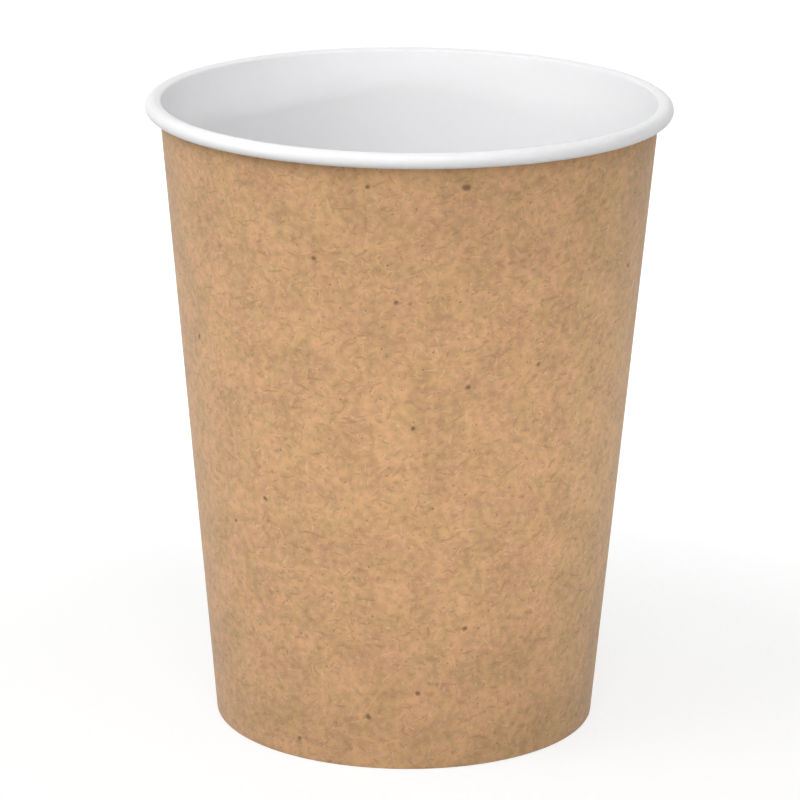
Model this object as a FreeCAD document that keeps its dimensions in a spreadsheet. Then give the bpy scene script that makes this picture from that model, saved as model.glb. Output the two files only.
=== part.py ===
import FreeCAD, Part
import math
import os
import Sketcher
from FreeCAD import Placement, Rotation, Vector

# Paper coffee cup, single wall, made from two pieces of board.
#
# The sidewall is one sheet, brown on the outside and white on the inside. It is wrapped
# into a cone and its two straight edges overlap in a side seam. Its top edge is rolled
# outward into a hollow bead, which therefore shows the white face. Its foot is folded
# inward and up around the skirt of the bottom disc, as a hem.
# The bottom disc is one flat round sheet with its edge turned down into that skirt.
#
# The frame: millimetres, +Z up along the cup's axis, the origin at the centre of the
# circle that the foot stands on. Angles run from +X towards +Y, and -Y is the front.

DRIVING_SIZES = {
    "rim_diameter": 90.0,  # across the outside of the rolled rim, where a lid grips
    "cup_height": 109.5,  # from the foot to the top of the rim
    "foot_diameter": 66.0,  # across the brown face, carried down to the foot's plane
    "bead_diameter": 2.75,  # of the rolled rim's own round section
    "wall_paper": 0.35,  # thickness of the sidewall's board
    "base_paper": 0.30,  # thickness of the bottom disc's board
    "recess_depth": 7.5,  # from the foot's plane up to the disc's underside
    "hem_gap": 1.0,  # from the hem's free edge up to the disc's underside
    "skirt_gap": 0.2,  # from the fold's floor up to the skirt's free edge
    "glue_gap": 0.02,  # left by the heat seal on each side of the skirt
    "fold_radius": 0.05,  # inside radius of the foot's two creases
    "bend_radius": 0.25,  # inside radius where the disc turns down into its skirt
    "curl_gap": 0.1,  # between the rolled edge and the wall that it closes on
    "curl_sweep": 172.0,  # degrees that the roll turns in under its outermost point
    "seam_angle": 14.0,  # degrees round from +X to the inner edge of the side seam
    "lap_width": 7.0,  # overlap of the side seam, along the rim
    "ramp_width": 4.0,  # where the sheet steps down off the overlap, along the rim
}

# How a sketch's constraint names the places on a line or arc, and the sketch's own axes
START, END, CENTRE = range(1, 4)
X_AXIS, Y_AXIS = -1, -2
ORIGIN = (X_AXIS, START)

LAP_DEGREES = "2 * Sizes.lap_width / Sizes.rim_diameter * 180 / pi"
RAMP_DEGREES = "2 * Sizes.ramp_width / Sizes.rim_diameter * 180 / pi"


def make_sheet(doc):
    """The spreadsheet that holds the driving sizes, one named cell each."""
    sheet = doc.addObject("Spreadsheet::Sheet", "Sizes")
    for row, (alias, value) in enumerate(DRIVING_SIZES.items(), start=1):
        sheet.set(f"A{row}", alias)
        sheet.set(f"B{row}", str(value))
        sheet.setAlias(f"B{row}", alias)
    doc.recompute()
    return sheet


def wall_taper(sizes):
    """Lean of the wall off the vertical, in radians, for a sketch's first guess."""
    bead_radius = sizes.bead_diameter / 2
    across = (sizes.rim_diameter - sizes.bead_diameter - sizes.foot_diameter) / 2
    up = sizes.cup_height - bead_radius
    reach = math.hypot(across, up)
    return math.atan2(across, up) - math.asin((bead_radius - sizes.wall_paper) / reach)


class Section:
    """A sketch in a half-plane through the cup's axis: x is the radius, y the height.

    Its guide is the wall's brown face, drawn as a construction line that stands on the
    foot's circle and touches the roll. Every line along the wall is parallel to it.
    """

    def __init__(self, body, name, sizes, turn=None):
        self.sizes = sizes
        self.sketch = body.newObject("Sketcher::SketchObject", name)
        plane = next(p for p in body.Origin.OriginFeatures if p.Role == "XZ_Plane")
        self.sketch.AttachmentSupport = (plane, [""])
        self.sketch.MapMode = "FlatFace"
        if turn:
            self.sketch.AttachmentOffset = Placement(Vector(), Rotation(Vector(0, 1, 0), 1))
            self.sketch.setExpression("AttachmentOffset.Rotation.Angle", turn)
        self.taper = wall_taper(sizes)
        self.outward = Vector(math.cos(self.taper), -math.sin(self.taper), 0)
        self.bead = Vector(
            (sizes.rim_diameter - sizes.bead_diameter) / 2,
            sizes.cup_height - sizes.bead_diameter / 2,
            0,
        )
        self.draw_guide()

    def line(self, start, end, construction=False):
        return self.sketch.addGeometry(Part.LineSegment(start, end), construction)

    def arc(self, centre, radius, first, last):
        circle = Part.Circle(centre, Vector(0, 0, 1), radius)
        return self.sketch.addGeometry(Part.ArcOfCircle(circle, first, last), False)

    def fix(self, kind, *places):
        self.sketch.addConstraint(Sketcher.Constraint(kind, *places))

    def size(self, name, formula, kind, *places):
        """A sized constraint, bound to the driving sizes by a formula."""
        index = self.sketch.addConstraint(Sketcher.Constraint(kind, *places))
        self.sketch.renameConstraint(index, name)
        self.sketch.setExpression(f"Constraints.{name}", formula)

    def chain(self, first, first_end, second, second_end):
        """Joins two ends smoothly."""
        self.fix("Tangent", first, first_end, second, second_end)

    def point_at(self, outward, height):
        """The point that far outside the wall's brown face, at that height."""
        across = (outward + height * math.sin(self.taper)) / math.cos(self.taper)
        return Vector(self.sizes.foot_diameter / 2 + across, height, 0)

    def draw_guide(self):
        sizes = self.sizes
        inner = sizes.bead_diameter / 2 - sizes.wall_paper
        foot = self.point_at(0, 0)
        top = self.point_at(0, sizes.cup_height)
        self.guide = self.line(foot, top, construction=True)
        circle = Part.Circle(self.bead, Vector(0, 0, 1), inner)
        self.roll = self.sketch.addGeometry(circle, True)
        self.fix("PointOnObject", self.guide, START, X_AXIS)
        self.size(
            "foot_radius", "Sizes.foot_diameter / 2", "DistanceX",
            *ORIGIN, self.guide, START, foot.x,
        )
        self.size(
            "guide_top", "Sizes.cup_height", "DistanceY",
            *ORIGIN, self.guide, END, sizes.cup_height,
        )
        self.size(
            "bead_across", "(Sizes.rim_diameter - Sizes.bead_diameter) / 2", "DistanceX",
            *ORIGIN, self.roll, CENTRE, self.bead.x,
        )
        self.size(
            "bead_up", "Sizes.cup_height - Sizes.bead_diameter / 2", "DistanceY",
            *ORIGIN, self.roll, CENTRE, self.bead.y,
        )
        self.size(
            "roll_inside", "Sizes.bead_diameter / 2 - Sizes.wall_paper", "Radius",
            self.roll, inner,
        )
        self.fix("Tangent", self.guide, self.roll)


def draw_sheet(section, white_ply=0, brown_ply=0):
    """The sheet's outline from the roll's free edge down the wall to the hem's free edge.

    The white face is that of one ply and the brown face that of the same ply or the next.
    Ply 1 lies against the brown face of ply 0, as the overlap does: outside it on the
    wall, inside it in the roll and nearer the axis in the hem. Both plies stand on the
    same foot plane, because the foot is pressed flat.
    """
    s = section.sizes
    out = section.outward
    paper = s.wall_paper
    white = white_ply * paper
    brown = brown_ply * paper + paper
    bead = s.bead_diameter / 2
    tuck = bead - (paper + s.curl_gap) / 2
    crease = s.fold_radius
    crease_out = crease + paper
    skirt_room = s.base_paper + 2 * s.glue_gap
    down = Vector(0, -1, 0)
    floor = -math.pi / 2
    side = -section.taper
    back = math.pi - section.taper

    white_corner = section.point_at(white - crease_out, crease_out)
    brown_corner = section.point_at(brown - paper - crease_out, crease_out)
    white_bend = section.point_at(crease - white - paper - skirt_room, crease_out)
    brown_bend = section.point_at(crease - brown - skirt_room, crease_out)
    hem_top = section.point_at(-white - paper - skirt_room, s.recess_depth - s.hem_gap)
    hem_side = hem_top - out * (brown - white)
    tuck_centre = section.bead + out * (bead - tuck)
    sweep = math.radians(s.curl_sweep)
    end_ray = Vector(math.cos(side - sweep), math.sin(side - sweep), 0)

    white_wall = section.line(section.bead - out * (bead - white), white_corner + out * crease)
    white_crease = section.arc(white_corner, crease, floor, side)
    white_floor = section.line(white_corner + down * crease, white_bend + down * crease)
    white_turn = section.arc(white_bend, crease, back, math.pi - floor)
    white_hem = section.line(white_bend - out * crease, hem_top)
    hem_edge = section.line(hem_top, hem_side)
    brown_hem = section.line(hem_side, brown_bend - out * crease_out)
    brown_turn = section.arc(brown_bend, crease_out, back, math.pi - floor)
    brown_floor = section.line(brown_bend + down * crease_out, brown_corner + down * crease_out)
    brown_crease = section.arc(brown_corner, crease_out, floor, side)
    brown_wall = section.line(
        brown_corner + out * crease_out, section.bead - out * (bead - brown)
    )
    brown_roll = section.arc(section.bead, bead - brown, side, back)
    brown_tuck = section.arc(tuck_centre, tuck - brown, side - sweep, side)
    white_tuck = section.arc(tuck_centre, tuck - white, side - sweep, side)
    white_roll = section.arc(section.bead, bead - white, side, back)
    curl_edge = section.line(
        tuck_centre + end_ray * (tuck - brown), tuck_centre + end_ray * (tuck - white)
    )
    centres = section.line(section.bead, tuck_centre, construction=True)

    section.chain(white_wall, START, white_roll, END)
    section.chain(white_wall, END, white_crease, END)
    section.chain(white_crease, START, white_floor, START)
    section.chain(white_floor, END, white_turn, END)
    section.chain(white_turn, START, white_hem, START)
    section.fix("Coincident", white_hem, END, hem_edge, START)
    section.fix("Coincident", hem_edge, END, brown_hem, START)
    section.chain(brown_hem, END, brown_turn, START)
    section.chain(brown_turn, END, brown_floor, START)
    section.chain(brown_floor, END, brown_crease, START)
    section.chain(brown_crease, END, brown_wall, START)
    section.chain(brown_wall, END, brown_roll, END)
    section.chain(brown_roll, START, brown_tuck, END)
    section.chain(white_roll, START, white_tuck, END)
    section.fix("Coincident", brown_tuck, START, curl_edge, START)
    section.fix("Coincident", curl_edge, END, white_tuck, START)

    for along in (white_wall, white_hem, brown_hem, brown_wall):
        section.fix("Parallel", along, section.guide)
    section.fix("Perpendicular", hem_edge, brown_hem)
    section.fix("Horizontal", brown_floor)
    section.fix("PointOnObject", brown_floor, START, X_AXIS)
    section.fix("Horizontal", white_floor)
    section.fix("Coincident", white_roll, CENTRE, section.roll, CENTRE)
    section.fix("Coincident", brown_roll, CENTRE, section.roll, CENTRE)
    section.fix("Coincident", brown_tuck, CENTRE, white_tuck, CENTRE)
    section.fix("Coincident", centres, START, section.roll, CENTRE)
    section.fix("Coincident", centres, END, white_tuck, CENTRE)
    section.fix("Perpendicular", centres, section.guide)
    section.fix("PointOnObject", white_tuck, CENTRE, curl_edge)
    section.fix("Equal", white_crease, white_turn)
    section.fix("Equal", brown_crease, brown_turn)

    white_at = f"{white_ply} * Sizes.wall_paper"
    brown_at = f"{brown_ply + 1} * Sizes.wall_paper"
    section.size("floor_up", "Sizes.wall_paper", "DistanceY", *ORIGIN, white_floor, START, paper)
    section.size("crease", "Sizes.fold_radius", "Radius", white_crease, crease)
    section.size(
        "crease_out", "Sizes.fold_radius + Sizes.wall_paper", "Radius", brown_crease, crease_out
    )
    section.size("hem_paper", f"{brown_at} - {white_at}", "Distance", hem_edge, brown - white)
    section.size(
        "fold_width", f"2 * {brown_at} + Sizes.base_paper + 2 * Sizes.glue_gap",
        "Distance", brown_hem, START, brown_wall, 2 * brown + skirt_room,
    )
    section.size(
        "hem_up", "Sizes.recess_depth - Sizes.hem_gap", "DistanceY",
        *ORIGIN, white_hem, END, hem_top.y,
    )
    section.size(
        "roll_out", f"Sizes.bead_diameter / 2 - {white_at}", "Radius", white_roll, bead - white
    )
    section.size(
        "roll_in", f"Sizes.bead_diameter / 2 - {brown_at}", "Radius", brown_roll, bead - brown
    )
    section.size(
        "tuck_out",
        f"Sizes.bead_diameter / 2 - (Sizes.wall_paper + Sizes.curl_gap) / 2 - {white_at}",
        "Radius", white_tuck, tuck - white,
    )
    section.size("tuck_sweep", "Sizes.curl_sweep", "Angle", white_tuck, sweep)
    return section.sketch


def revolve(body, name, sketch, degrees):
    """Turns a section about the cup's axis, backwards from the section's own plane."""
    turned = body.newObject("PartDesign::Revolution", name)
    turned.Profile = sketch
    turned.ReferenceAxis = (sketch, ["V_Axis"])
    turned.Reversed = True
    turned.setExpression("Angle", degrees)
    return turned


def make_sidewall(doc, sizes):
    """The wrapped sheet: a single ply nearly all the way round, two plies at the seam,
    and the ramp on which the outer ply comes down off the seam to the single ply again.

    The seam's inner edge is drawn half a turn from +X, and the sheet turned to its place.
    """
    body = doc.addObject("PartDesign::Body", "sidewall")
    body.Placement = Placement(Vector(), Rotation(Vector(0, 0, 1), 1))
    body.setExpression("Placement.Rotation.Angle", "Sizes.seam_angle + 180")
    seam = "180"
    past_lap = f"{seam} - {LAP_DEGREES}"
    past_ramp = f"{seam} + {RAMP_DEGREES}"
    sheet_section = draw_sheet(Section(body, "sheet_section", sizes, past_lap))
    lap_section = draw_sheet(Section(body, "lap_section", sizes, seam), brown_ply=1)
    outer_ply = draw_sheet(Section(body, "outer_ply", sizes, seam), white_ply=1, brown_ply=1)
    landing = draw_sheet(Section(body, "landing", sizes, past_ramp))
    doc.recompute()
    revolve(body, "sheet", sheet_section, f"360 - {LAP_DEGREES} - {RAMP_DEGREES}")
    doc.recompute()
    revolve(body, "lap", lap_section, LAP_DEGREES)
    doc.recompute()
    ramp = body.newObject("PartDesign::AdditiveLoft", "ramp")
    ramp.Profile = outer_ply
    ramp.Sections = [landing]
    ramp.Ruled = True
    doc.recompute()
    return body


def draw_disc(section):
    """The bottom disc's outline, from the cup's axis out to the skirt's free edge."""
    s = section.sizes
    out = section.outward
    paper = s.base_paper
    bend = s.bend_radius
    under = s.recess_depth
    inset = s.wall_paper + s.glue_gap
    side = -section.taper
    up = math.pi / 2

    corner = section.point_at(-inset - paper - bend, under - bend)
    edge = section.point_at(-inset, s.wall_paper + s.skirt_gap)

    axis = section.line(Vector(0, under, 0), Vector(0, under + paper, 0))
    top = section.line(Vector(0, under + paper, 0), corner + Vector(0, bend + paper, 0))
    outer_bend = section.arc(corner, bend + paper, side, up)
    skirt_out = section.line(corner + out * (bend + paper), edge)
    skirt_edge = section.line(edge, edge - out * paper)
    skirt_in = section.line(edge - out * paper, corner + out * bend)
    inner_bend = section.arc(corner, bend, side, up)
    underside = section.line(corner + Vector(0, bend, 0), Vector(0, under, 0))

    section.fix("Coincident", axis, END, top, START)
    section.chain(top, END, outer_bend, END)
    section.chain(outer_bend, START, skirt_out, START)
    section.fix("Coincident", skirt_out, END, skirt_edge, START)
    section.fix("Coincident", skirt_edge, END, skirt_in, START)
    section.chain(skirt_in, END, inner_bend, START)
    section.chain(inner_bend, END, underside, START)
    section.fix("Coincident", underside, END, axis, START)

    section.fix("Vertical", axis)
    section.fix("PointOnObject", axis, START, Y_AXIS)
    section.fix("Horizontal", top)
    section.fix("Horizontal", underside)
    section.fix("Parallel", skirt_out, section.guide)
    section.fix("Parallel", skirt_in, section.guide)
    section.fix("Perpendicular", skirt_edge, skirt_out)

    section.size("under", "Sizes.recess_depth", "DistanceY", *ORIGIN, axis, START, under)
    section.size("paper", "Sizes.base_paper", "Distance", axis, paper)
    section.size("skirt_paper", "Sizes.base_paper", "Distance", skirt_edge, paper)
    section.size("bend", "Sizes.bend_radius", "Radius", inner_bend, bend)
    section.size(
        "bend_out", "Sizes.bend_radius + Sizes.base_paper", "Radius", outer_bend, bend + paper
    )
    section.size(
        "inset", "Sizes.wall_paper + Sizes.glue_gap", "Distance",
        skirt_out, START, section.guide, inset,
    )
    section.size(
        "skirt_up", "Sizes.wall_paper + Sizes.skirt_gap", "DistanceY",
        *ORIGIN, skirt_out, END, edge.y,
    )
    return section.sketch


def make_bottom_disc(doc, sizes):
    """The disc and its skirt, turned about the cup's axis."""
    body = doc.addObject("PartDesign::Body", "bottom_disc")
    sketch = draw_disc(Section(body, "disc_section", sizes))
    doc.recompute()
    revolve(body, "disc", sketch, "360")
    doc.recompute()
    return body


def check(doc):
    """Stops if anything in the document failed, or a sub-part isn't one sound solid."""
    failed = [o.Name for o in doc.Objects if {"Invalid", "Error"} & set(o.State)]
    if failed:
        raise RuntimeError(f"these objects failed: {failed}")
    for body in doc.findObjects("PartDesign::Body"):
        shape = body.Shape
        if shape.isNull() or not shape.isValid() or len(shape.Solids) != 1:
            raise RuntimeError(f"{body.Label} isn't one valid solid")


def write(doc):
    """Writes each sub-part to its own file, named by its label."""
    os.makedirs("parts", exist_ok=True)
    for body in doc.findObjects("PartDesign::Body"):
        body.Shape.exportStep(f"parts/{body.Label}.step")


def main():
    doc = FreeCAD.newDocument("paper_cup")
    sizes = make_sheet(doc)
    make_sidewall(doc, sizes)
    make_bottom_disc(doc, sizes)
    doc.recompute()
    check(doc)
    write(doc)


main()
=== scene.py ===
"""The looks of a single-wall paper coffee cup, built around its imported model.

The cup is two pieces of board. The sidewall is one sheet, brown kraft outside and coated
white inside. It is wrapped into a cone, lapped at a side seam, rolled outward at the rim
and folded under at the foot. The bottom disc is one white sheet whose edge is turned down
into a skirt, which the foot's hem holds.
"""

import logging
import math
from dataclasses import dataclass, field
from enum import IntEnum
from typing import Iterable, Protocol

import bmesh
import bpy
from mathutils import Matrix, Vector

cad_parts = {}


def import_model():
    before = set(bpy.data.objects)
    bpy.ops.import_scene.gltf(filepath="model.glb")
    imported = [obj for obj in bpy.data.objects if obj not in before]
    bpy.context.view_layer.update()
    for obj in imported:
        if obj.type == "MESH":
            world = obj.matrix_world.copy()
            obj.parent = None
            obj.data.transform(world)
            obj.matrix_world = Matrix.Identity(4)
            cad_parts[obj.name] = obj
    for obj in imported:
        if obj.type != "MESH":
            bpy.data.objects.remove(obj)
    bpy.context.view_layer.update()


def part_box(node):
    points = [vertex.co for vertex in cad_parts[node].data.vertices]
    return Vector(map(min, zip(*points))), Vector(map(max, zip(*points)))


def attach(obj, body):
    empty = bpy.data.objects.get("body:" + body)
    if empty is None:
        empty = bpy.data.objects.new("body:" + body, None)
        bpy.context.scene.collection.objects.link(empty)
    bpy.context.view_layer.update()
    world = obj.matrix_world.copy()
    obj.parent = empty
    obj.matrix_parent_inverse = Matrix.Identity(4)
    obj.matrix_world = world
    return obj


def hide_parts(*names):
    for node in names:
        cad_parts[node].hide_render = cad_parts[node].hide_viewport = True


MM = 0.001
FULL_TURN = 360.0
FRAME_PIXELS = 800
BLANK_MAP = "blank"
SHARP_ANGLE = 50.0

Colour = tuple[float, float, float]
Range = tuple[float, float]
Socket = bpy.types.NodeSocket
Value = Socket | Colour | float

WHOLE: Range = (0.0, 1.0)
CLOUD_SPAN: Range = (0.35, 0.65)
GRAIN_SPAN: Range = (0.3, 0.7)

# Each noise and scatter lies this many millimetres from the next one's place.
SEED_STEP = 37.0
SEED_SLANT = -0.7

# A Mix node's colour sockets by number, because its other kinds share their names.
MIX_UNDER, MIX_OVER, MIX_RESULT = 6, 7, 2

# The curve between a screen's colour levels and light.
SCREEN_TOP = 255
SCREEN_DARK_END, SCREEN_DARK_SLOPE = 0.04045, 12.92
SCREEN_OFFSET, SCREEN_POWER = 0.055, 2.4

log = logging.getLogger("paper_cup")


def paint(red: float, green: float, blue: float) -> Colour:
    """Turns a colour as it is seen on a screen, 0 to 255, into the light that a shader takes.

    Args:
        red: The red share.
        green: The green share.
        blue: The blue share.

    Returns:
        The same colour as three linear shares from 0 to 1.
    """

    def linear(share: float) -> float:
        """One share, linear.

        Args:
            share: The share as a screen has it.

        Returns:
            The share as light.
        """
        level = share / SCREEN_TOP
        if level <= SCREEN_DARK_END:
            return level / SCREEN_DARK_SLOPE
        return ((level + SCREEN_OFFSET) / (1 + SCREEN_OFFSET)) ** SCREEN_POWER

    return linear(red), linear(green), linear(blue)


def grey(level: float) -> Colour:
    """A neutral colour, given as light."""
    return level, level, level


@dataclass(frozen=True)
class CupSizes:
    """The sizes that both pieces of board are made to, in metres and degrees."""

    rim_radius: float
    height: float
    foot_radius: float = 33.0 * MM
    bead_radius: float = 1.375 * MM
    wall_board: float = 0.35 * MM
    base_board: float = 0.30 * MM
    recess_depth: float = 7.5 * MM
    hem_gap: float = 1.0 * MM
    skirt_gap: float = 0.2 * MM
    glue_gap: float = 0.02 * MM
    fold_radius: float = 0.05 * MM
    bend_radius: float = 0.25 * MM
    curl_gap: float = 0.1 * MM
    curl_sweep: float = 172.0
    edge_angle: float = 105.0
    edge_radius: float = 0.42 * MM
    seam_angle: float = 14.0
    lap_width: float = 7.0 * MM
    ramp_width: float = 4.0 * MM

    @classmethod
    def from_frame(cls) -> "CupSizes":
        """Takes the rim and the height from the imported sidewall.

        Returns:
            The cup's sizes.
        """
        low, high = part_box("sidewall")
        return cls(rim_radius=min(high.x, high.y, -low.x, -low.y), height=high.z)

    @property
    def bead_centre(self) -> Vector:
        """The middle of the rolled rim's round section, as radius and height."""
        return Vector((self.rim_radius - self.bead_radius, self.height - self.bead_radius))

    @property
    def taper(self) -> float:
        """Lean of the wall, which is drawn straight from the foot to touch the rolled rim.

        Returns:
            Its angle off the vertical, in radians.
        """
        rise = self.bead_centre
        across = rise.x - self.foot_radius
        reach = math.hypot(across, rise.y)
        return math.atan2(across, rise.y) - math.asin((self.bead_radius - self.wall_board) / reach)

    @property
    def outward(self) -> Vector:
        """The direction square to the wall and away from the axis."""
        return Vector((math.cos(self.taper), -math.sin(self.taper)))

    @property
    def skirt_room(self) -> float:
        """The space in the hem that the disc's skirt and its seal take."""
        return self.base_board + 2 * self.glue_gap

    def degrees_along_rim(self, width: float) -> float:
        """The angle that a width measured along the rim spans."""
        return math.degrees(width / self.rim_radius)

    def wall_point(self, outward: float, height: float) -> Vector:
        """A point set off from the wall's brown face.

        Args:
            outward: How far outside the face it lies, in metres.
            height: How far above the foot it lies.

        Returns:
            The point, as radius and height.
        """
        lean = self.taper
        across = (outward + height * math.sin(lean)) / math.cos(lean)
        return Vector((self.foot_radius + across, height))


def arc(centre: Vector, radius: float, first: float, last: float, steps: int) -> list[Vector]:
    """Points along a round stretch of a section or a plan.

    Args:
        centre: The middle of the arc: its radius and height, or its place in the plan.
        radius: The arc's own radius.
        first: The angle that it starts at, in radians.
        last: The angle that it ends at.
        steps: How many runs it is divided into.

    Returns:
        The points, both ends among them.
    """
    turns = (first + (last - first) * i / steps for i in range(steps + 1))
    return [centre + radius * Vector((math.cos(t), math.sin(t))) for t in turns]


def run_between(start: Vector, end: Vector, steps: int) -> list[Vector]:
    """Points along a straight stretch of a section, without its two ends."""
    return [start.lerp(end, i / steps) for i in range(1, steps)]


@dataclass(frozen=True)
class Surface:
    """How the surface of a board is: how matt, how grained, how glossy and how fuzzy."""

    matt: Range
    relief_depth: float
    gloss: float
    fuzz: float = 0.0


class Bench:
    """Lays out the nodes of one procedural material, or of the surround."""

    def __init__(self, owner: bpy.types.Material | bpy.types.World) -> None:
        """Empties the owner's nodes, ready for new ones.

        Args:
            owner: The material or the surround that the nodes are for.
        """
        owner.use_nodes = True
        self.owner = owner
        self.tree = owner.node_tree
        self.tree.nodes.clear()

    def add(self, kind: str, **settings: object) -> bpy.types.Node:
        """Adds a node.

        Args:
            kind: The node's type.
            settings: The node's own settings, by name.

        Returns:
            The node.
        """
        node = self.tree.nodes.new(kind)
        for name, value in settings.items():
            setattr(node, name, value)
        return node

    def feed(self, value: Value, socket: Socket) -> None:
        """Links a socket to another node's output, or sets it to a plain value.

        Args:
            value: The output, or the number, colour or place.
            socket: The socket that takes it.
        """
        if isinstance(value, Socket):
            self.tree.links.new(value, socket)
        elif socket.type == "RGBA":
            socket.default_value = (*value, 1.0)
        else:
            socket.default_value = value

    def maths(self, operation: str, *values: Value) -> Socket:
        """A sum, product or other plain calculation.

        Args:
            operation: Which calculation it is.
            values: What it works on, in order.

        Returns:
            The result's output.
        """
        node = self.add("ShaderNodeMath", operation=operation)
        for value, socket in zip(values, node.inputs):
            self.feed(value, socket)
        return node.outputs[0]

    def vector(self, operation: str, *values: Value) -> Socket:
        """A calculation on places.

        Args:
            operation: Which calculation it is.
            values: What it works on, in order.

        Returns:
            The result's output, a number for a length and otherwise a place.
        """
        node = self.add("ShaderNodeVectorMath", operation=operation)
        for value, socket in zip(values, node.inputs):
            self.feed(value, socket)
        return node.outputs["Value" if operation in ("LENGTH", "DISTANCE") else "Vector"]

    def scaled(self, place: Socket, factor: float) -> Socket:
        """A place multiplied by a plain number.

        Args:
            place: The place.
            factor: The number.

        Returns:
            The new place's output.
        """
        node = self.add("ShaderNodeVectorMath", operation="SCALE")
        self.feed(place, node.inputs["Vector"])
        self.feed(factor, node.inputs["Scale"])
        return node.outputs["Vector"]

    def shifted(self, place: Socket, seed: int) -> Socket:
        """A place moved far off, so that the same noise looks different there."""
        return self.vector("ADD", place, (seed * SEED_STEP, seed * SEED_SLANT * SEED_STEP, 0.0))

    def spread(self, value: Value, across: Range, to: Range = WHOLE) -> Socket:
        """Eases a value from one range to another, flat outside it.

        Args:
            value: The value.
            across: The range that it is read over.
            to: The range that it is turned into.

        Returns:
            The eased value's output.
        """
        node = self.add("ShaderNodeMapRange", interpolation_type="SMOOTHSTEP")
        for socket, amount in zip(node.inputs, (value, *across, *to)):
            self.feed(amount, socket)
        return node.outputs["Result"]

    def blend(self, share: Value, under: Value, over: Value, mode: str = "MIX") -> Socket:
        """Lays one colour over another.

        Args:
            share: How much of the upper colour shows, from 0 to 1.
            under: The lower colour.
            over: The upper colour.
            mode: How the two are combined.

        Returns:
            The colour's output.
        """
        node = self.add("ShaderNodeMix", data_type="RGBA", blend_type=mode, clamp_factor=True)
        self.feed(share, node.inputs["Factor"])
        self.feed(under, node.inputs[MIX_UNDER])
        self.feed(over, node.inputs[MIX_OVER])
        return node.outputs[MIX_RESULT]

    def sheet_place(self) -> Socket:
        """Where on the flat, uncut sheet a point lies, in millimetres."""
        node = self.add("ShaderNodeUVMap", uv_map=BLANK_MAP)
        return self.scaled(node.outputs["UV"], 1.0 / MM)

    def object_place(self) -> Socket:
        """Where on the piece a point lies, in millimetres."""
        node = self.add("ShaderNodeTexCoord")
        return self.scaled(node.outputs["Object"], 1.0 / MM)

    def board(self, colour: Socket, grain: Socket, surface: Surface) -> bpy.types.Material:
        """Finishes the material as board.

        Args:
            colour: The board's colour.
            grain: Its fine grain, from 0 to 1, which is felt as relief and makes it matt.
            surface: How its surface is.

        Returns:
            The material.
        """
        shader = self.add("ShaderNodeBsdfPrincipled")
        bump = self.add("ShaderNodeBump")
        bump.inputs["Distance"].default_value = surface.relief_depth
        self.feed(grain, bump.inputs["Height"])
        self.feed(colour, shader.inputs["Base Color"])
        self.feed(self.spread(grain, GRAIN_SPAN, surface.matt), shader.inputs["Roughness"])
        shader.inputs["Specular IOR Level"].default_value = surface.gloss
        shader.inputs["Sheen Weight"].default_value = surface.fuzz
        self.feed(bump.outputs["Normal"], shader.inputs["Normal"])
        out = self.add("ShaderNodeOutputMaterial")
        self.feed(shader.outputs["BSDF"], out.inputs["Surface"])
        return self.owner


class Finish(Protocol):
    """A surface finish that can be made into a material."""

    def build(self) -> bpy.types.Material:
        """Makes the finish's material."""


@dataclass(frozen=True)
class Clouds:
    """A cloudy noise: how far apart its clouds are, in millimetres, and how fine it goes."""

    size: float
    seed: int
    detail: float = 2.0
    roughness: float = 0.5
    flat: bool = True

    def lay(self, bench: Bench, place: Socket) -> bpy.types.Node:
        """Adds the noise.

        Args:
            bench: The material being laid out.
            place: Where on the sheet it is, or where in the piece if it isn't flat.

        Returns:
            The noise node.
        """
        node = bench.add("ShaderNodeTexNoise", noise_dimensions="2D" if self.flat else "3D")
        bench.feed(bench.shifted(place, self.seed), node.inputs["Vector"])
        bench.feed(1.0 / self.size, node.inputs["Scale"])
        bench.feed(self.detail, node.inputs["Detail"])
        bench.feed(self.roughness, node.inputs["Roughness"])
        return node

    def level(self, bench: Bench, place: Socket) -> Socket:
        """How strong the noise is at a place, from 0 to 1."""
        return self.lay(bench, place).outputs["Fac"]


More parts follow.
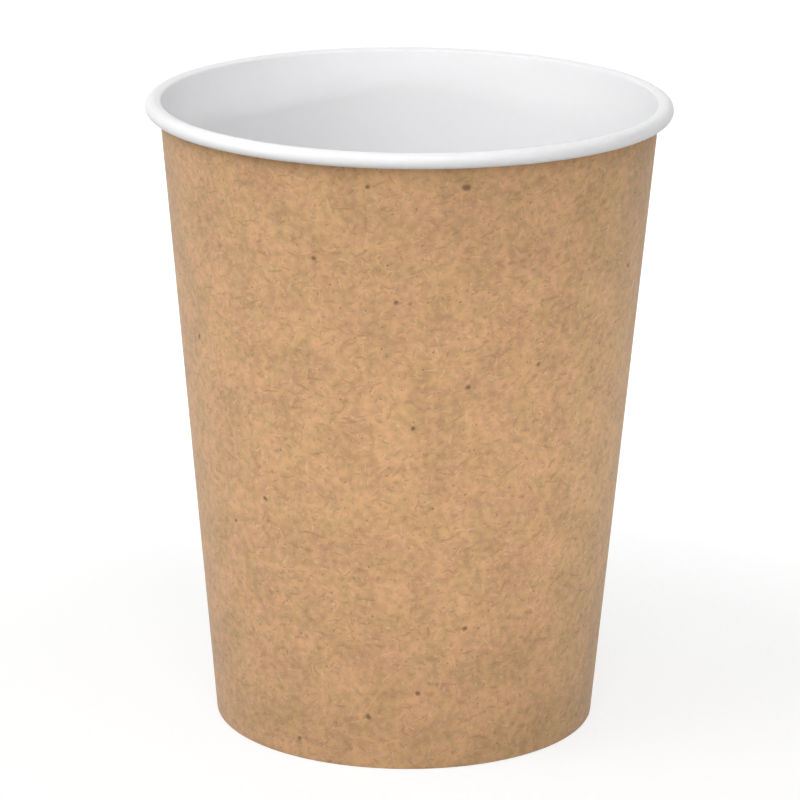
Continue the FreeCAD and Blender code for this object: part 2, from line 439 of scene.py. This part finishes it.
@dataclass(frozen=True)
class Strokes:
    """Short tapered strokes scattered over the sheet, at most one to a cell, in millimetres."""

    cell: float
    length: float
    width: float
    share: float
    turn: float = 0.0
    swing: float = 180.0
    soft: float = 0.05

    def mask(self, bench: Bench, place: Socket, seed: int) -> Socket:
        """Where the strokes lie.

        Args:
            bench: The material being laid out.
            place: Where on the sheet it is, already bent so that the strokes curl.
            seed: Which of many like scatters it is.

        Returns:
            A value from 0, bare, up to 1, on a strong stroke.
        """
        moved = bench.shifted(place, seed)
        cells = bench.add("ShaderNodeTexVoronoi", voronoi_dimensions="2D")
        bench.feed(moved, cells.inputs["Vector"])
        bench.feed(1 / self.cell, cells.inputs["Scale"])
        pick = bench.add("ShaderNodeSeparateColor")
        bench.feed(cells.outputs["Color"], pick.inputs["Color"])
        swing, turn = math.radians(self.swing), math.radians(self.turn)
        from_middle = bench.vector("SUBTRACT", moved, cells.outputs["Position"])
        turned = bench.add("ShaderNodeVectorRotate", rotation_type="Z_AXIS")
        bench.feed(from_middle, turned.inputs["Vector"])
        bench.feed(bench.maths("MULTIPLY_ADD", pick.outputs["Red"], swing, turn), turned.inputs["Angle"])
        parts = bench.add("ShaderNodeSeparateXYZ")
        bench.feed(turned.outputs["Vector"], parts.inputs["Vector"])
        half = bench.maths("MULTIPLY_ADD", pick.outputs["Green"], self.length / 2, self.length / 4)
        along = bench.maths("DIVIDE", parts.outputs["X"], half)
        taper = bench.maths("SUBTRACT", 1.0, bench.maths("MULTIPLY", along, along))
        across = bench.maths("ABSOLUTE", parts.outputs["Y"])
        edge = bench.maths("SUBTRACT", bench.maths("MULTIPLY", taper, self.width / 2), across)
        strength = bench.spread(pick.outputs["Blue"], (1 - self.share, 1.0))
        return bench.maths("MULTIPLY", bench.spread(edge, (-self.soft, self.soft)), strength)


@dataclass(frozen=True)
class Scatter:
    """Layers of strokes in one colour, and how strongly they colour the sheet."""

    colour: Colour
    strength: float
    first_seed: int
    layers: tuple[Strokes, ...]

    def lay(self, bench: Bench, place: Socket, under: Socket) -> Socket:
        """Draws the strokes over the colour under them, the strongest layer at each place.

        Args:
            bench: The material being laid out.
            place: Where on the sheet it is.
            under: The colour so far.

        Returns:
            The colour with the strokes on it.
        """
        masks = [layer.mask(bench, place, self.first_seed + i) for i, layer in enumerate(self.layers)]
        total = masks[0]
        for mask in masks[1:]:
            total = bench.maths("MAXIMUM", total, mask)
        return bench.blend(bench.maths("MULTIPLY", total, self.strength), under, self.colour)


@dataclass(frozen=True)
class Knot:
    """A dark knot of fibre in the kraft: where it lies on the wall and how wide it is."""

    angle: float
    height: float
    width: float


@dataclass(frozen=True)
class KraftFinish:
    """Unbleached kraft: cloudy brown paper, full of short curly fibres, specks and knots.

    Its knots are given by their places on the flat sheet and their widths. Its scatters
    are the dark fibres, the pale fibres and the specks.
    """

    knots: tuple[tuple[Vector, float], ...]
    ground: Colour = paint(207, 165, 119)
    rosy: Colour = paint(209, 164, 120)
    olive: Colour = paint(203, 163, 115)
    char: Colour = paint(92, 62, 36)
    rosy_clouds: Clouds = Clouds(7.0, 2)
    olive_clouds: Clouds = Clouds(6.0, 3)
    olive_span: Range = (0.42, 0.70)
    broad_mottle: Clouds = Clouds(8.0, 4, detail=1.0)
    broad_span: Range = (0.25, 0.75)
    broad_level: Range = (0.93, 1.07)
    fine_mottle: Clouds = Clouds(1.5, 5)
    fine_span: Range = (0.2, 0.8)
    fine_level: Range = (-0.12, 0.12)
    curl: Clouds = Clouds(2.0, 1, detail=1.0)
    curl_middle: float = 0.5
    curl_reach: float = 0.7
    scatters: tuple[Scatter, ...] = (
        Scatter(paint(140, 100, 62), 0.36, 10, (
            Strokes(4.2, 3.2, 0.30, 0.75, turn=-25, swing=50, soft=0.08),
            Strokes(2.6, 1.8, 0.28, 0.75, turn=-90, soft=0.08),
            Strokes(2.9, 1.3, 0.60, 0.60, turn=-40, swing=80, soft=0.25),
            Strokes(1.7, 1.1, 0.24, 0.7, turn=-50, swing=100, soft=0.07),
            Strokes(1.1, 0.6, 0.22, 0.6, turn=-90, soft=0.06),
        )),
        Scatter(paint(232, 198, 160), 0.40, 20, (
            Strokes(1.9, 0.8, 0.34, 0.6, turn=-90),
            Strokes(1.2, 0.5, 0.26, 0.6),
            Strokes(3.1, 2.2, 0.24, 0.6, turn=-90),
        )),
        Scatter(paint(92, 62, 36), 0.55, 30, (
            Strokes(2.3, 0.32, 0.30, 0.55, turn=-90),
            Strokes(1.4, 0.20, 0.20, 0.45, turn=-90),
        )),
    )
    knot_core: float = 0.15
    knot_edge: float = 0.60
    knot_strength: float = 0.75
    grain: Clouds = Clouds(0.5, 6)
    surface: Surface = Surface(matt=(0.66, 0.82), relief_depth=0.012 * MM, gloss=0.35, fuzz=0.25)

    def build(self) -> bpy.types.Material:
        """Makes the kraft material.

        Returns:
            The material.
        """
        bench = Bench(bpy.data.materials.new("kraft_outside"))
        place = bench.sheet_place()
        curl = self.curl.lay(bench, place).outputs["Color"]
        bend = bench.scaled(bench.vector("SUBTRACT", curl, grey(self.curl_middle)), self.curl_reach)
        curled = bench.vector("ADD", place, bend)
        colour = self.clouded(bench, place)
        for scatter in self.scatters:
            colour = scatter.lay(bench, curled, colour)
        colour = bench.blend(self.knot_mask(bench, curled), colour, self.char)
        return bench.board(colour, self.grain.level(bench, place), self.surface)

    def clouded(self, bench: Bench, place: Socket) -> Socket:
        """The ground colour with its rosy and olive clouds and its mottling.

        Args:
            bench: The material being laid out.
            place: Where on the sheet it is.

        Returns:
            The colour's output.
        """
        rosy = bench.spread(self.rosy_clouds.level(bench, place), CLOUD_SPAN)
        olive = bench.spread(self.olive_clouds.level(bench, place), self.olive_span)
        colour = bench.blend(olive, bench.blend(rosy, self.ground, self.rosy), self.olive)
        broad = bench.spread(self.broad_mottle.level(bench, place), self.broad_span, self.broad_level)
        fine = bench.spread(self.fine_mottle.level(bench, place), self.fine_span, self.fine_level)
        level = bench.maths("ADD", broad, fine)
        shade = bench.add("ShaderNodeCombineColor")
        for socket in shade.inputs:
            bench.feed(level, socket)
        return bench.blend(1.0, colour, shade.outputs["Color"], "MULTIPLY")

    def knot_mask(self, bench: Bench, place: Socket) -> Value:
        """The larger dark knots, each with a soft edge.

        Args:
            bench: The material being laid out.
            place: Where on the sheet it is.

        Returns:
            A value from 0, bare, up to the knots' strength.
        """
        total: Value = 0.0
        for centre, width in self.knots:
            away = bench.vector("DISTANCE", place, (centre.x / MM, centre.y / MM, 0.0))
            rim = (self.knot_core * width / MM, self.knot_edge * width / MM)
            mark = bench.spread(away, rim, (self.knot_strength, 0.0))
            total = bench.maths("MAXIMUM", total, mark)
        return total


@dataclass(frozen=True)
class CoatedFinish:
    """White board under a thin waterproof coating: smooth, with a soft gloss."""

    name: str
    ground: Colour = paint(249, 249, 250)
    cloud: Colour = paint(248, 248, 249)
    clouds: Clouds = Clouds(2.0, 7, detail=3.0, roughness=0.6)
    orange_peel: Clouds = Clouds(0.9, 8)
    surface: Surface = Surface(matt=(0.36, 0.46), relief_depth=0.006 * MM, gloss=0.5)

    def build(self) -> bpy.types.Material:
        """Makes the coated material.

        Returns:
            The material.
        """
        bench = Bench(bpy.data.materials.new(self.name))
        place = bench.sheet_place()
        clouds = bench.spread(self.clouds.level(bench, place), CLOUD_SPAN)
        colour = bench.blend(clouds, self.ground, self.cloud)
        return bench.board(colour, self.orange_peel.level(bench, place), self.surface)


@dataclass(frozen=True)
class BareWhiteFinish:
    """The uncoated side of the disc's white board: matt, with a faint formation of fibres."""

    name: str
    ground: Colour = paint(240, 239, 235)
    cloud: Colour = paint(232, 230, 224)
    clouds: Clouds = Clouds(2.4, 11, detail=4.0, roughness=0.6)
    fibres: Scatter = Scatter(paint(216, 212, 203), 0.35, 40, (
        Strokes(2.4, 1.8, 0.20, 0.7, turn=-90),
        Strokes(1.5, 1.0, 0.18, 0.7),
        Strokes(3.3, 2.6, 0.20, 0.7, turn=-40, swing=80),
    ))
    grain: Clouds = Clouds(0.3, 12)
    surface: Surface = Surface(matt=(0.78, 0.90), relief_depth=0.010 * MM, gloss=0.3)

    def build(self) -> bpy.types.Material:
        """Makes the uncoated material.

        Returns:
            The material.
        """
        bench = Bench(bpy.data.materials.new(self.name))
        place = bench.sheet_place()
        clouds = bench.spread(self.clouds.level(bench, place), CLOUD_SPAN)
        colour = self.fibres.lay(bench, place, bench.blend(clouds, self.ground, self.cloud))
        return bench.board(colour, self.grain.level(bench, place), self.surface)


@dataclass(frozen=True)
class CutFinish:
    """A cut edge of the sheet, where the layers of fibre show."""

    name: str
    light: Colour
    dark: Colour
    layers: Clouds = Clouds(0.18, 15, detail=3.0, roughness=0.65, flat=False)
    surface: Surface = Surface(matt=(0.8, 0.95), relief_depth=0.03 * MM, gloss=0.2)

    def build(self) -> bpy.types.Material:
        """Makes the cut edge's material.

        Returns:
            The material.
        """
        bench = Bench(bpy.data.materials.new(self.name))
        layers = self.layers.level(bench, bench.object_place())
        colour = bench.blend(bench.spread(layers, CLOUD_SPAN), self.light, self.dark)
        return bench.board(colour, layers, self.surface)


class SheetFace(IntEnum):
    """What a face of a piece of board is, and so which of its materials it takes."""

    OUTSIDE = 0
    INSIDE = 1
    CUT = 2


@dataclass
class BoardMesh:
    """A mesh of board being gathered, face by face."""

    points: list[tuple[float, float, float]] = field(default_factory=list)
    spots: list[tuple[float, float]] = field(default_factory=list)
    faces: list[tuple[int, ...]] = field(default_factory=list)
    kinds: list[int] = field(default_factory=list)

    def point(self, angle: float, place: Vector, spot: Vector) -> int:
        """Adds a point.

        Args:
            angle: Its angle round the cup, in degrees.
            place: Its radius and height.
            spot: Where it lies on the flat sheet.

        Returns:
            Its number.
        """
        turn = math.radians(angle)
        self.points.append((place.x * math.cos(turn), place.x * math.sin(turn), place.y))
        self.spots.append((spot.x, spot.y))
        return len(self.points) - 1

    def face(self, kind: SheetFace, *corners: int) -> None:
        """Adds a face."""
        self.faces.append(corners)
        self.kinds.append(int(kind))

    def build(self, name: str, finishes: Iterable[Finish]) -> bpy.types.Object:
        """Makes the object.

        Args:
            name: The piece's name.
            finishes: Its finishes, in the order of SheetFace.

        Returns:
            The object, linked to the scene.
        """
        mesh = bpy.data.meshes.new(name)
        mesh.from_pydata(self.points, [], self.faces)
        mesh.polygons.foreach_set("material_index", self.kinds)
        blank = mesh.uv_layers.new(name=BLANK_MAP)
        corners = [value for loop in mesh.loops for value in self.spots[loop.vertex_index]]
        blank.uv.foreach_set("vector", corners)
        worked = bmesh.new()
        worked.from_mesh(mesh)
        bmesh.ops.recalc_face_normals(worked, faces=worked.faces)
        worked.to_mesh(mesh)
        worked.free()
        mesh.shade_smooth()
        mesh.set_sharp_from_angle(angle=math.radians(SHARP_ANGLE))
        for finish in finishes:
            mesh.materials.append(finish.build())
        piece = bpy.data.objects.new(name, mesh)
        bpy.context.scene.collection.objects.link(piece)
        return piece


@dataclass(frozen=True)
class Station:
    """One place along the sheet's section, with the sheet's two faces there."""

    white: Vector
    brown: Vector


@dataclass
class Sidewall:
    """The cup's wrapped sheet, from the roll's free edge down to the hem's free edge.

    The sheet starts at the seam's inner edge and goes clockwise, seen from above. At the
    end of its turn it climbs the ramp and laps over its own start.
    """

    sizes: CupSizes
    tuck_steps: int = 16
    roll_steps: int = 16
    edge_steps: int = 6
    wall_steps: int = 60
    fold_steps: int = 5
    hem_steps: int = 6
    column_degrees: float = 1.0
    least_columns: int = 6
    hair: float = 0.01 * MM
    knots: tuple[Knot, ...] = (
        Knot(-77.2, 103.0 * MM, 1.5 * MM),
        Knot(-99.1, 103.0 * MM, 1.0 * MM),
        Knot(-112.1, 90.2 * MM, 1.1 * MM),
        Knot(-75.2, 68.6 * MM, 1.2 * MM),
        Knot(-56.4, 71.2 * MM, 1.0 * MM),
        Knot(-88.5, 61.6 * MM, 1.0 * MM),
        Knot(-129.4, 46.3 * MM, 1.1 * MM),
        Knot(-141.6, 40.5 * MM, 1.1 * MM),
        Knot(-73.4, 25.3 * MM, 1.2 * MM),
        Knot(-100.1, 9.3 * MM, 1.3 * MM),
        Knot(-86.2, 13.8 * MM, 1.1 * MM),
        Knot(-121.9, 3.3 * MM, 1.0 * MM),
        Knot(-92.6, 83.4 * MM, 0.9 * MM),
        Knot(-153.0, 71.4 * MM, 1.2 * MM),
        Knot(-24.0, 84.0 * MM, 1.1 * MM),
        Knot(24.0, 55.0 * MM, 1.2 * MM),
        Knot(41.0, 22.0 * MM, 1.0 * MM),
        Knot(67.0, 93.0 * MM, 1.2 * MM),
        Knot(98.0, 48.0 * MM, 1.3 * MM),
        Knot(131.0, 77.0 * MM, 1.0 * MM),
        Knot(-172.0, 31.0 * MM, 1.1 * MM),
        Knot(152.0, 17.0 * MM, 1.0 * MM),
    )
    cut_light: Colour = paint(214, 190, 158)
    cut_dark: Colour = paint(176, 140, 102)

    @property
    def lap(self) -> float:
        """The seam's overlap, in degrees."""
        return self.sizes.degrees_along_rim(self.sizes.lap_width)

    @property
    def ramp(self) -> float:
        """The ramp before the overlap, in degrees."""
        return self.sizes.degrees_along_rim(self.sizes.ramp_width)

    def stations(self, lift: float) -> list[Station]:
        """The sheet's section where it is lifted off its single ply.

        Args:
            lift: How far it is lifted, in metres.

        Returns:
            The places along it, from the roll's free edge to the hem's.
        """
        cup = self.sizes
        out = cup.outward
        crease, crease_out = cup.fold_radius, cup.fold_radius + cup.wall_board
        side, back, floor = -cup.taper, math.pi - cup.taper, -math.pi / 2
        top = math.radians(cup.edge_angle)
        tuck_radius = cup.bead_radius - (cup.wall_board + cup.curl_gap) / 2
        tuck_centre = cup.bead_centre + out * (cup.bead_radius - tuck_radius)
        sweep = math.radians(cup.curl_sweep)
        corner = cup.wall_point(lift - crease_out, crease_out)
        bend = cup.wall_point(crease - lift - cup.wall_board - cup.skirt_room, crease_out)
        hem_top = cup.wall_point(-lift - cup.wall_board - cup.skirt_room, cup.recess_depth - cup.hem_gap)

        def face(depth: float, fold: float) -> list[Vector]:
            """One face of the sheet.

            Args:
                depth: How far below the white face it lies.
                fold: Its radius in the foot's two folds.

            Returns:
                Its points, from the roll's free edge to the hem's.
            """
            under = lift + depth
            radius = cup.bead_radius - under
            edge_radius = max(cup.edge_radius - under, 0.0)
            middle, half = (top + back) / 2, (back - top) / 2
            ray = Vector((math.cos(middle), math.sin(middle)))
            edge_centre = cup.bead_centre + ray * (radius - edge_radius) / math.cos(half)
            tuck = arc(tuck_centre, tuck_radius - under, side - sweep, side, self.tuck_steps)
            roll = arc(cup.bead_centre, radius, side, top, self.roll_steps)
            edge = arc(edge_centre, edge_radius, top, back, self.edge_steps)
            foot = arc(corner, fold, side, floor, self.fold_steps)
            turn = arc(bend, fold, math.pi - floor, back, self.fold_steps)
            wall = run_between(edge[-1], foot[0], self.wall_steps)
            hem = run_between(turn[-1], hem_top - out * depth, self.hem_steps)
            return [*tuck, *roll[1:], *edge, *wall, *foot, *turn, *hem, hem_top - out * depth]

        whites = face(0.0, crease)
        browns = face(cup.wall_board, crease_out)
        return [Station(white, brown) for white, brown in zip(whites, browns)]

    def blank_spots(self, runs: list[float], turned: float) -> list[Vector]:
        """Where the stations of one column lie on the flat sheet, a sector of a ring.

        Args:
            runs: How far up the sheet from the foot each station is.
            turned: How far round from the sheet's start the column is, in degrees.

        Returns:
            The places.
        """
        lean = math.sin(self.sizes.taper)
        turn = math.radians(turned - FULL_TURN / 2) * lean
        apex = self.sizes.foot_radius / lean
        ray = Vector((math.sin(turn), math.cos(turn)))
        return [ray * (apex + run) for run in runs]

    def runs(self) -> list[float]:
        """How far up the sheet from the foot's crease each station is.

        Returns:
            The distances along the middle of the board, negative past the crease.
        """
        middles = [(place.white + place.brown) / 2 for place in self.stations(0.0)]
        steps = [(b - a).length for a, b in zip(middles, middles[1:])]
        foot = self.tuck_steps + self.roll_steps + self.edge_steps + 1 + self.wall_steps
        above = [sum(steps[i:foot]) for i in range(foot + 1)]
        return above + [-sum(steps[foot:i]) for i in range(foot + 1, len(middles))]

    def columns(self) -> list[float]:
        """How far round from the sheet's start each column is.

        Returns:
            The angles in degrees, with one at each end of the lap and of the ramp.
        """
        marks = [0.0, self.lap, FULL_TURN - self.ramp, FULL_TURN, FULL_TURN + self.lap]
        found = []
        for start, end in zip(marks, marks[1:]):
            steps = max(self.least_columns, round((end - start) / self.column_degrees))
            found += [start + (end - start) * i / steps for i in range(steps)]
        return [*found, marks[-1]]

    def knot_spots(self) -> tuple[tuple[Vector, float], ...]:
        """Where the knots lie on the flat sheet, and how wide they are.

        Returns:
            Each knot's place and width.
        """
        upright = math.cos(self.sizes.taper)
        spots = []
        for knot in self.knots:
            turned = (self.sizes.seam_angle - knot.angle) % FULL_TURN
            spots.append((self.blank_spots([knot.height / upright], turned)[0], knot.width))
        return tuple(spots)

    def column(self, made: BoardMesh, runs: list[float], turned: float) -> tuple[list[int], list[int]]:
        """Adds the points of one section of the sheet.

        The lap lies a hair off the ply under it, and that ply's foot a hair off the ground,
        so that no two faces share a plane.

        Args:
            made: The mesh that they go into.
            runs: How far up the sheet from the foot each station is.
            turned: How far round from the sheet's start the section is, in degrees.

        Returns:
            The numbers of its white points and of its brown ones.
        """
        lifted = min(max((turned - FULL_TURN + self.ramp) / self.ramp, 0.0), 1.0)
        stations = self.stations(lifted * (self.sizes.wall_board + self.hair))
        spots = self.blank_spots(runs, turned)
        ground = self.hair if turned <= self.lap else 0.0
        angle = self.sizes.seam_angle - turned
        whites, browns = [], []
        for station, spot in zip(stations, spots):
            whites.append(made.point(angle, station.white, spot))
            brown = Vector((station.brown.x, max(station.brown.y, ground)))
            browns.append(made.point(angle, brown, spot))
        return whites, browns

    def build(self) -> bpy.types.Object:
        """Builds and dresses the sheet.

        Returns:
            The piece.
        """
        made = BoardMesh()
        runs = self.runs()
        rings = [self.column(made, runs, turned) for turned in self.columns()]
        ends = (0, len(runs) - 1)
        for (white, brown), (next_white, next_brown) in zip(rings, rings[1:]):
            for i in range(*ends):
                made.face(SheetFace.INSIDE, white[i], white[i + 1], next_white[i + 1], next_white[i])
                made.face(SheetFace.OUTSIDE, brown[i], next_brown[i], next_brown[i + 1], brown[i + 1])
            for i in ends:
                made.face(SheetFace.CUT, white[i], next_white[i], next_brown[i], brown[i])
        for white, brown in (rings[0], rings[-1]):
            for i in range(*ends):
                made.face(SheetFace.CUT, white[i], brown[i], brown[i + 1], white[i + 1])
        finishes = (
            KraftFinish(self.knot_spots()),
            CoatedFinish("coated_white"),
            CutFinish("kraft_cut_edge", self.cut_light, self.cut_dark),
        )
        piece = made.build("sidewall_sheet", finishes)
        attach(piece, "root")
        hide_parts("sidewall")
        return piece


@dataclass
class BottomDisc:
    """The cup's bottom: a flat disc with its edge turned down into a skirt."""

    sizes: CupSizes
    flat_steps: int = 16
    bend_steps: int = 6
    skirt_steps: int = 8
    columns: int = 360
    cut_light: Colour = paint(238, 236, 230)
    cut_dark: Colour = paint(214, 210, 200)

    def outline(self) -> tuple[list[Vector], list[Vector]]:
        """The disc's section.

        Returns:
            The points of its coated face and of its bare face, each from the axis outward.
        """
        cup = self.sizes
        out = cup.outward
        inset = cup.wall_board + cup.glue_gap
        flat_end = -inset - cup.base_board - cup.bend_radius
        corner = cup.wall_point(flat_end, cup.recess_depth - cup.bend_radius)
        edge = cup.wall_point(-inset, cup.wall_board + cup.skirt_gap)

        def face(depth: float) -> list[Vector]:
            """One face of the disc.

            Args:
                depth: How far below the coated face it lies.

            Returns:
                Its points, from the axis outward.
            """
            radius = cup.bend_radius + cup.base_board - depth
            bend = arc(corner, radius, math.pi / 2, -cup.taper, self.bend_steps)
            end = edge - out * depth
            top = Vector((0.0, bend[0].y))
            flat = run_between(top, bend[0], self.flat_steps)
            return [*flat, *bend, *run_between(bend[-1], end, self.skirt_steps), end]

        return face(0.0), face(cup.base_board)

    def build(self) -> bpy.types.Object:
        """Builds and dresses the disc.

        Returns:
            The piece.
        """
        made = BoardMesh()
        sides = self.outline()
        coated = sides[0]
        hubs = [made.point(0.0, Vector((0.0, side[0].y)), Vector((0.0, 0.0))) for side in sides]
        runs = [coated[0].x]
        for a, b in zip(coated, coated[1:]):
            runs.append(runs[-1] + (b - a).length)
        rings = []
        for column in range(self.columns):
            angle = FULL_TURN * column / self.columns
            ray = Vector((math.cos(math.radians(angle)), math.sin(math.radians(angle))))
            rings.append([
                [made.point(angle, place, ray * run) for place, run in zip(side, runs)]
                for side in sides
            ])
        for (top, under), (next_top, next_under) in zip(rings, rings[1:] + rings[:1]):
            made.face(SheetFace.INSIDE, hubs[0], top[0], next_top[0])
            made.face(SheetFace.OUTSIDE, hubs[1], next_under[0], under[0])
            for i in range(len(top) - 1):
                made.face(SheetFace.INSIDE, top[i], top[i + 1], next_top[i + 1], next_top[i])
                made.face(SheetFace.OUTSIDE, under[i], next_under[i], next_under[i + 1], under[i + 1])
            made.face(SheetFace.CUT, top[-1], under[-1], next_under[-1], next_top[-1])
        finishes = (
            BareWhiteFinish("bare_white"),
            CoatedFinish("coated_white_disc"),
            CutFinish("white_cut_edge", self.cut_light, self.cut_dark),
        )
        piece = made.build("bottom_disc_sheet", finishes)
        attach(piece, "root")
        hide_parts("bottom_disc")
        return piece


@dataclass(frozen=True)
class Lamp:
    """A soft box that faces the cup, or one with a grid that keeps its light in a beam."""

    name: str
    azimuth: float
    elevation: float
    power: float
    distance: float = 0.9
    width: float = 0.45
    height: float = 0.45
    aside: float = 0.0
    spread: float = 180.0

    def build(self, target: Vector) -> bpy.types.Object:
        """Hangs the lamp.

        Args:
            target: The middle of the cup. Hung aside, the lamp points that far past it.

        Returns:
            The lamp.
        """
        turn, rise = math.radians(self.azimuth), math.radians(self.elevation)
        level = math.cos(rise)
        away = Vector((math.sin(turn) * level, -math.cos(turn) * level, math.sin(rise)))
        light = bpy.data.lights.new(self.name, "AREA")
        light.shape = "RECTANGLE"
        light.size = self.width
        light.size_y = self.height
        light.energy = self.power
        light.spread = math.radians(self.spread)
        lamp = bpy.data.objects.new(self.name, light)
        lamp.location = target + away * self.distance + Vector((self.aside, 0.0, 0.0))
        lamp.rotation_euler = away.to_track_quat("Z", "Y").to_euler()
        lamp.visible_camera = False
        bpy.context.scene.collection.objects.link(lamp)
        return lamp


@dataclass(frozen=True)
class Viewpoint:
    """Where the photograph was taken from, and where in its frame the cup's middle lies."""

    elevation: float = 16.01
    distance: float = 746.6 * MM
    lens: float = 193.36
    sensor: float = 36.0
    nearest: float = 0.01
    roll: float = 0.54
    right_pixels: float = 6.65
    down_pixels: float = 6.24

    def build(self, target: Vector) -> bpy.types.Object:
        """Sets up the camera.

        Args:
            target: The middle of the cup.

        Returns:
            The camera.
        """
        rise = math.radians(self.elevation)
        away = Vector((0.0, -math.cos(rise), math.sin(rise)))
        data = bpy.data.cameras.new("camera")
        data.lens = self.lens
        data.sensor_width = self.sensor
        data.shift_x = -self.right_pixels / FRAME_PIXELS
        data.shift_y = self.down_pixels / FRAME_PIXELS
        data.clip_start = self.nearest
        camera = bpy.data.objects.new("camera", data)
        camera.location = target + away * self.distance
        facing = away.to_track_quat("Z", "Y").to_matrix().to_4x4()
        facing.translation = camera.location
        camera.matrix_world = facing
        camera.rotation_euler.rotate_axis("Z", math.radians(self.roll))
        bpy.context.scene.collection.objects.link(camera)
        bpy.context.scene.camera = camera
        return camera


@dataclass
class Studio:
    """A white floor, a white surround that only the camera sees as such, and soft boxes."""

    sizes: CupSizes
    ambient: float = 0.30
    floor_radius: float = 2.5
    floor_corners: int = 96
    floor_seen: float = 0.85
    floor_bounce: float = 0.40
    floor_glow: float = 1.16
    shadow_share: float = 0.35
    shadow_reach: Range = (70 * MM, 200 * MM)
    lamps: tuple[Lamp, ...] = (
        Lamp("front_high", 0, 40, 1.55),
        Lamp("front_low", 0, 20, 1.18),
        Lamp("key_left", -60, 40, 2.23),
        Lamp("side_left", -90, 30, 0.80),
        Lamp("back", 180, 40, 0.30),
        Lamp("top", 0, 88, 0.90, width=0.6, height=0.6),
        Lamp("strip_left", -50, 8, 0.0080, 0.6, 0.14, 0.09, aside=-0.045, spread=10),
        Lamp("strip_right", 50, 8, 0.0185, 0.6, 0.16, 0.09, aside=0.05, spread=11),
    )

    def build_floor(self) -> bpy.types.Object:
        """Lays the floor, which the camera sees as white with the cup's soft shadow on it.

        Returns:
            The floor.
        """
        mesh = bpy.data.meshes.new("floor")
        middle = Vector((0.0, 0.0))
        ring = arc(middle, self.floor_radius, 0.0, math.tau, self.floor_corners)[:-1]
        mesh.from_pydata([(*corner, 0.0) for corner in ring], [], [tuple(range(len(ring)))])
        mesh.materials.append(self.floor_finish())
        floor = bpy.data.objects.new("floor", mesh)
        bpy.context.scene.collection.objects.link(floor)
        return floor

    def floor_finish(self) -> bpy.types.Material:
        """Makes the floor's white, which is duller where it lights the cup than where it is seen.

        Near the cup the part that glows is thinner, so that the shadow shows there.

        Returns:
            The material.
        """
        bench = Bench(bpy.data.materials.new("floor_white"))
        seen = self.seen_directly(bench)
        matt = bench.add("ShaderNodeBsdfDiffuse")
        tone = bench.blend(seen, grey(self.floor_bounce), grey(self.floor_seen))
        bench.feed(tone, matt.inputs["Color"])
        white = bench.add("ShaderNodeEmission")
        white.inputs["Strength"].default_value = self.floor_glow
        away = bench.vector("LENGTH", bench.add("ShaderNodeTexCoord").outputs["Object"])
        shadow = bench.spread(away, self.shadow_reach, (self.shadow_share, 0.0))
        mixed = bench.add("ShaderNodeMixShader")
        lit = bench.maths("SUBTRACT", 1.0, shadow)
        parts = (bench.maths("MULTIPLY", seen, lit), matt.outputs["BSDF"], white.outputs["Emission"])
        for part, socket in zip(parts, mixed.inputs):
            bench.feed(part, socket)
        out = bench.add("ShaderNodeOutputMaterial")
        bench.feed(mixed.outputs["Shader"], out.inputs["Surface"])
        return bench.owner

    def seen_directly(self, bench: Bench) -> Socket:
        """Whether the camera sees the place itself, or sees it in a reflection.

        Args:
            bench: The material or surround being laid out.

        Returns:
            An output that is 1 where it is seen and 0 where it only gives light.
        """
        sight = bench.add("ShaderNodeLightPath")
        seen = sight.outputs["Is Camera Ray"]
        for way in ("Is Glossy Ray", "Is Transmission Ray"):
            seen = bench.maths("MAXIMUM", seen, sight.outputs[way])
        return seen

    def build_world(self) -> bpy.types.World:
        """Makes the surround: plain ambient light, and white where it is seen.

        Returns:
            The surround.
        """
        bench = Bench(bpy.data.worlds.new("surround"))
        level = bench.spread(self.seen_directly(bench), WHOLE, (self.ambient, 1.0))
        plain = bench.add("ShaderNodeBackground")
        bench.feed(grey(1.0), plain.inputs["Color"])
        bench.feed(level, plain.inputs["Strength"])
        out = bench.add("ShaderNodeOutputWorld")
        bench.feed(plain.outputs["Background"], out.inputs["Surface"])
        bpy.context.scene.world = bench.owner
        return bench.owner

    def build(self) -> None:
        """Builds the floor, the surround, the lamps and the camera."""
        middle = Vector((0.0, 0.0, self.sizes.height / 2))
        self.build_floor()
        self.build_world()
        for lamp in self.lamps:
            lamp.build(middle)
        Viewpoint().build(middle)
        bpy.context.scene.view_settings.view_transform = "Standard"


def main() -> None:
    """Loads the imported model, dresses its pieces and sets up the studio."""
    logging.basicConfig(level=logging.INFO, format="%(name)s: %(message)s")
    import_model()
    sizes = CupSizes.from_frame()
    for maker in (Sidewall(sizes), BottomDisc(sizes)):
        piece = maker.build()
        log.info("%s: %d faces", piece.name, len(piece.data.polygons))
    Studio(sizes).build()


if __name__ == "__main__":
    main()
